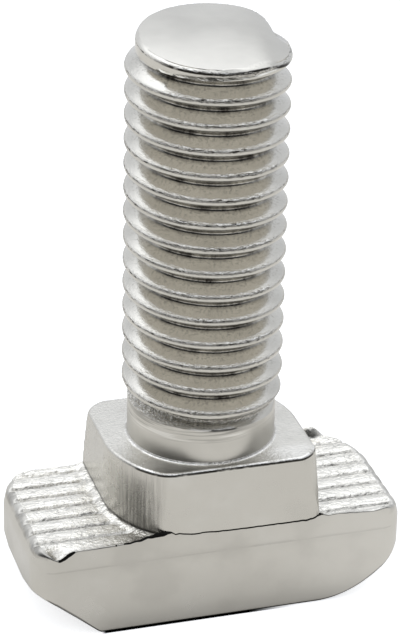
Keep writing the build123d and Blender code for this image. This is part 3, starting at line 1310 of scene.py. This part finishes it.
floor = {
    "size": 600.0,
    "paleness": 0.86,
    "roughness": 0.9,
    "shownLight": 0.63,
    "mirroredLight": 0.85,
    # how far the bolt shades the floor that it mirrors, and the ramps of the shade
    "shadeReach": 9.0,
    "shade": (0.15, 0.85),
    "gapShadeReach": 0.3,
    "gap": (0.6, 0.85),
    # a painted contact shadow: the dark line where the head stands on the floor, kept off its right and left
    # ends
    "contactShadowReach": 0.14,
    "contactShadow": (0.85, 0.98),
    "clearRight": (1.5, 4.2),
    "clearLeft": (-6.15, -5.9, 1.0, 0.0),
}


def rayFields(tree):
    # camera rays, and the rays that mirrors and glass send
    rays = tree.nodes.new("ShaderNodeLightPath").outputs
    mirrored = Field(tree, rays["Is Glossy Ray"]).atLeast(Field(tree, rays["Is Transmission Ray"]))
    return Field(tree, rays["Is Camera Ray"]), mirrored


def makeFloor():
    half = floor["size"] / 2 * mm
    mesh = bpy.data.meshes.new("floor")
    corners = [(-half, -half, 0), (half, -half, 0), (half, half, 0), (-half, half, 0)]
    mesh.from_pydata(corners, [], [(0, 1, 2, 3)])
    paint = bpy.data.materials.new("paleFloor")
    paint.use_nodes = True
    tree = paint.node_tree
    shader = tree.nodes["Principled BSDF"]
    shader.inputs["Roughness"].default_value = floor["roughness"]
    shader.inputs["Specular IOR Level"].default_value = 0.0

    def openAround(reach, samples):
        gap = addNode(tree, "ShaderNodeAmbientOcclusion", {"Distance": reach * mm}, samples=samples)
        return Field(tree, gap.outputs["AO"])

    seen, mirrored = rayFields(tree)
    # the bolt mirrors the pale floor, with painted shade near the bolt and a painted dark gap under its
    # edges
    openness = openAround(floor["shadeReach"], 8).ramp(*floor["shade"])
    openness = openness * openAround(floor["gapShadeReach"], 12).ramp(*floor["gap"])
    # painted contact shadow for camera rays, kept off the head's ends
    clear = openAround(floor["contactShadowReach"], 12).ramp(*floor["contactShadow"])
    x = splitVector(tree, tree.nodes.new("ShaderNodeTexCoord").outputs["Object"])[0] / mm
    clear = strongest(clear, x.ramp(*floor["clearRight"]), x.ramp(*floor["clearLeft"]))
    tone = (1 - mirrored) * (seen * (clear - 1) + 1) * floor["paleness"]
    plug(tree, joinVector(tree, tone, tone, tone), shader.inputs["Base Color"])
    glow = seen * clear * floor["shownLight"] + mirrored * openness * floor["mirroredLight"]
    shader.inputs["Emission Color"].default_value = (1, 1, 1, 1)
    plug(tree, glow, shader.inputs["Emission Strength"])
    mesh.materials.append(paint)
    newPiece("floor", mesh)


makeFloor()
print("floor laid")


studio = {
    "level": 0.85,
    "tint": (0.965, 1.0, 1.07, 1),
    "viewAngle": 17.1,
    # what the bolt mirrors: a white tent, brightest high up behind, open and dark low down in front
    "horizon": 0.88,
    "skyBehind": 1.85,
    "riseBehind": (0.4, 0.85),
    "lowFront": 0.05,
    "highFront": 1.2,
    "riseInFront": (0.68, 0.86),
    "frontToBack": (-0.5, 0.4),
    "overhead": 0.85,
    "riseOverhead": (0.9, 0.99),
    "sideFall": 0.25,
    "highSideFall": 0.5,
    "riseAtSide": (0.3, 0.8),
}


def makeStudio():
    world = bpy.data.worlds.new("studio")
    bpy.context.scene.world = world
    world.use_nodes = True
    tree = world.node_tree
    background = tree.nodes["Background"]
    way = tree.nodes.new("ShaderNodeTexCoord").outputs["Generated"]
    plugs = {"Vector": way, "Angle": math.radians(studio["viewAngle"])}
    turned = addNode(tree, "ShaderNodeVectorRotate", plugs, rotation_type="Z_AXIS")
    side, away, up = splitVector(tree, turned.outputs[0])
    behind = up.ramp(*studio["riseBehind"], studio["horizon"], studio["skyBehind"])
    front = up.ramp(*studio["riseInFront"], studio["lowFront"], studio["highFront"])
    light = front + (behind - front) * away.ramp(*studio["frontToBack"])
    light = light + (studio["overhead"] - light) * up.ramp(*studio["riseOverhead"])
    fall = up.ramp(*studio["riseAtSide"], studio["sideFall"], studio["highSideFall"])
    light = light * (1 - side.atLeast(0.0) * fall)
    seen, mirrored = rayFields(tree)
    plain = (1 - seen) * (1 - mirrored)
    strength = seen + mirrored * light + plain * studio["level"]
    plug(tree, mixColour(tree, seen, studio["tint"], (1, 1, 1, 1)), background.inputs["Color"])
    plug(tree, strength, background.inputs["Strength"])


makeStudio()
print("studio lit")


view = {
    "place": (-37.75, -122.38, 79.71),
    "target": (-0.145, 0.0, 14.66),
    "roll": 1.215,
    "lens": 167.5,
    "nearest": 5.0,
    "farthest": 5000.0,
}


def makeCamera():
    camera = bpy.data.objects.new("camera", bpy.data.cameras.new("camera"))
    bpy.context.scene.collection.objects.link(camera)
    place, target = Vector(view["place"]) * mm, Vector(view["target"]) * mm
    forward = (target - place).normalized()
    right = forward.cross(Vector((0, 0, 1))).normalized()
    up = right.cross(forward)
    roll = math.radians(view["roll"])
    tiltedRight = right * math.cos(roll) + up * math.sin(roll)
    tiltedUp = up * math.cos(roll) - right * math.sin(roll)
    turn = Matrix((tiltedRight, tiltedUp, -forward)).transposed().to_4x4()
    camera.matrix_world = Matrix.Translation(place) @ turn
    camera.data.lens = view["lens"]
    camera.data.clip_start = view["nearest"] * mm
    camera.data.clip_end = view["farthest"] * mm
    bpy.context.scene.camera = camera


makeCamera()
bpy.context.scene.view_settings.view_transform = "Standard"
